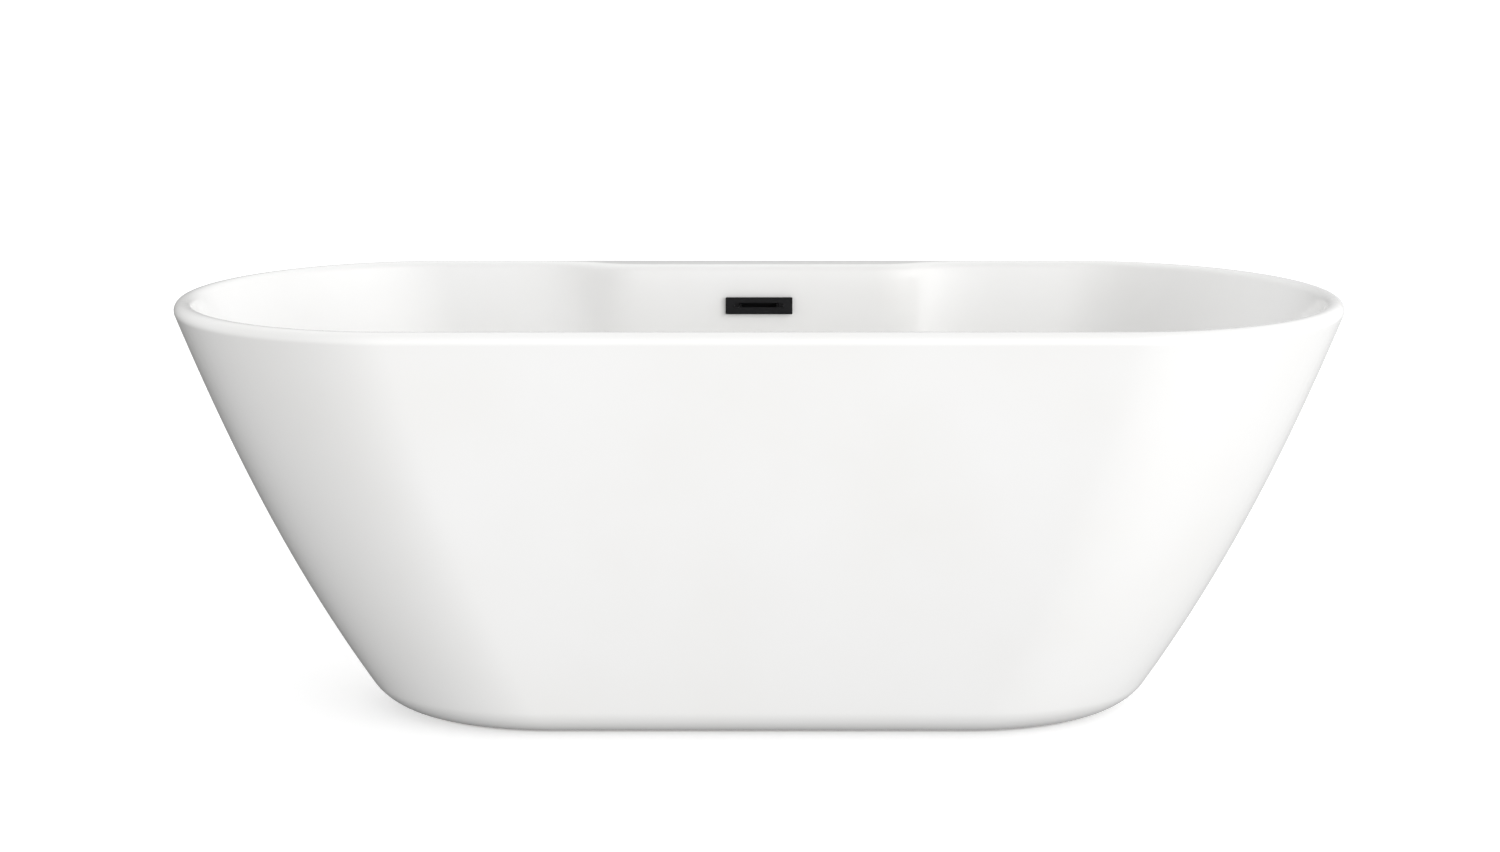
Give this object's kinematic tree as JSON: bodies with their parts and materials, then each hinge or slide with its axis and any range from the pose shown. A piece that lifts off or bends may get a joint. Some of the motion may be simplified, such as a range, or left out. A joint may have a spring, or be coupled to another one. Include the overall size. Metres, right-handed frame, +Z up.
{
  "type": "freestanding bathtub",
  "caption": "Freestanding oval acrylic bathtub with tapered skirt, rolled rim, rear tap ledge, slotted overflow, click-clack waste and screw feet.",
  "frame": {"origin": "on the floor under the middle of the tub", "axes": "+X along the length, +Y towards the tap ledge, +Z up"},
  "size_m": [1.6, 0.75, 0.58],
  "materials": {
    "white_acrylic": "smooth high-gloss white sanitary acrylic",
    "glass_fibre": "rough sprayed glass-fibre resin, off-white",
    "plywood": "birch plywood sealed with resin",
    "black_plastic": "satin black plastic",
    "rubber": "matt black rubber",
    "pipe_plastic": "light grey polypropylene",
    "foot_plastic": "black nylon with a fine moulded grain",
    "stainless": "plain stainless steel",
    "zinc": "bright zinc plating",
    "painted_steel": "grey primer paint",
    "chrome": "polished chrome plating",
    "brass": "turned brass"
  },
  "bodies": {
    "tub": {"base_board": "plywood", "basin_backing": "glass_fibre", "bracket_bolts": "zinc", "drain_flange": "chrome", "drain_flange_seal": "rubber", "foot_lock_nuts": "zinc", "frame_crossbar_left": "painted_steel", "frame_crossbar_right": "painted_steel", "frame_rail_back": "painted_steel", "frame_rail_front": "painted_steel", "frame_screws": "zinc", "frame_weld_nuts": "zinc", "hose_clips": "stainless", "inner_basin": "white_acrylic", "outer_skirt": "white_acrylic", "overflow_chamber": "black_plastic", "overflow_cover": "black_plastic", "overflow_flange": "black_plastic", "overflow_gasket": "rubber", "overflow_pipe": "pipe_plastic", "overflow_screws": "stainless", "plug_cartridge": "brass", "plug_spring": "stainless", "skirt_backing": "glass_fibre", "skirt_bracket_back_left": "painted_steel", "skirt_bracket_back_right": "painted_steel", "skirt_bracket_front_left": "painted_steel", "skirt_bracket_front_right": "painted_steel", "tail_slip_nut": "pipe_plastic", "tap_ledge_board": "plywood", "waste_body": "pipe_plastic", "waste_gasket": "rubber", "waste_tailpiece": "pipe_plastic"},
    "plug": {"plug_cap": "chrome", "plug_seal": "rubber", "plug_stem": "brass"},
    "pad_front_left": {"foot_pad_front_left": "foot_plastic"},
    "stud_front_left": {"foot_stud_front_left": "zinc"},
    "pad_front_right": {"foot_pad_front_right": "foot_plastic"},
    "stud_front_right": {"foot_stud_front_right": "zinc"},
    "pad_back_left": {"foot_pad_back_left": "foot_plastic"},
    "stud_back_left": {"foot_stud_back_left": "zinc"},
    "pad_back_right": {"foot_pad_back_right": "foot_plastic"},
    "stud_back_right": {"foot_stud_back_right": "zinc"}
  },
  "joints": [
    {"name": "plug_lift", "type": "slide", "parent": "tub", "child": "plug", "axis": [0, 0, 1], "range_m": [-0.009, 0], "deforming": ["plug_spring"]},
    {"name": "foot_height_front_left", "type": "slide", "parent": "tub", "child": "pad_front_left", "axis": [0, 0, 1], "range_m": [-0.012, 0.002]},
    {"name": "foot_turn_front_left", "type": "hinge", "parent": "pad_front_left", "child": "stud_front_left", "pos_m": [-0.35, -0.12, 0.05], "axis": [0, 0, 1], "range_deg": [-2468.57, 411.43]},
    {"name": "foot_height_front_right", "type": "slide", "parent": "tub", "child": "pad_front_right", "axis": [0, 0, 1], "range_m": [-0.012, 0.002]},
    {"name": "foot_turn_front_right", "type": "hinge", "parent": "pad_front_right", "child": "stud_front_right", "pos_m": [0.35, -0.12, 0.05], "axis": [0, 0, 1], "range_deg": [-2468.57, 411.43]},
    {"name": "foot_height_back_left", "type": "slide", "parent": "tub", "child": "pad_back_left", "axis": [0, 0, 1], "range_m": [-0.012, 0.002]},
    {"name": "foot_turn_back_left", "type": "hinge", "parent": "pad_back_left", "child": "stud_back_left", "pos_m": [-0.35, 0.12, 0.05], "axis": [0, 0, 1], "range_deg": [-2468.57, 411.43]},
    {"name": "foot_height_back_right", "type": "slide", "parent": "tub", "child": "pad_back_right", "axis": [0, 0, 1], "range_m": [-0.012, 0.002]},
    {"name": "foot_turn_back_right", "type": "hinge", "parent": "pad_back_right", "child": "stud_back_right", "pos_m": [0.35, 0.12, 0.05], "axis": [0, 0, 1], "range_deg": [-2468.57, 411.43]}
  ],
  "couplings": [
    {"joint": "foot_turn_front_left", "follows": "foot_height_front_left", "rad_per_m": 3590.4},
    {"joint": "foot_turn_front_right", "follows": "foot_height_front_right", "rad_per_m": 3590.4},
    {"joint": "foot_turn_back_left", "follows": "foot_height_back_left", "rad_per_m": 3590.4},
    {"joint": "foot_turn_back_right", "follows": "foot_height_back_right", "rad_per_m": 3590.4}
  ]
}
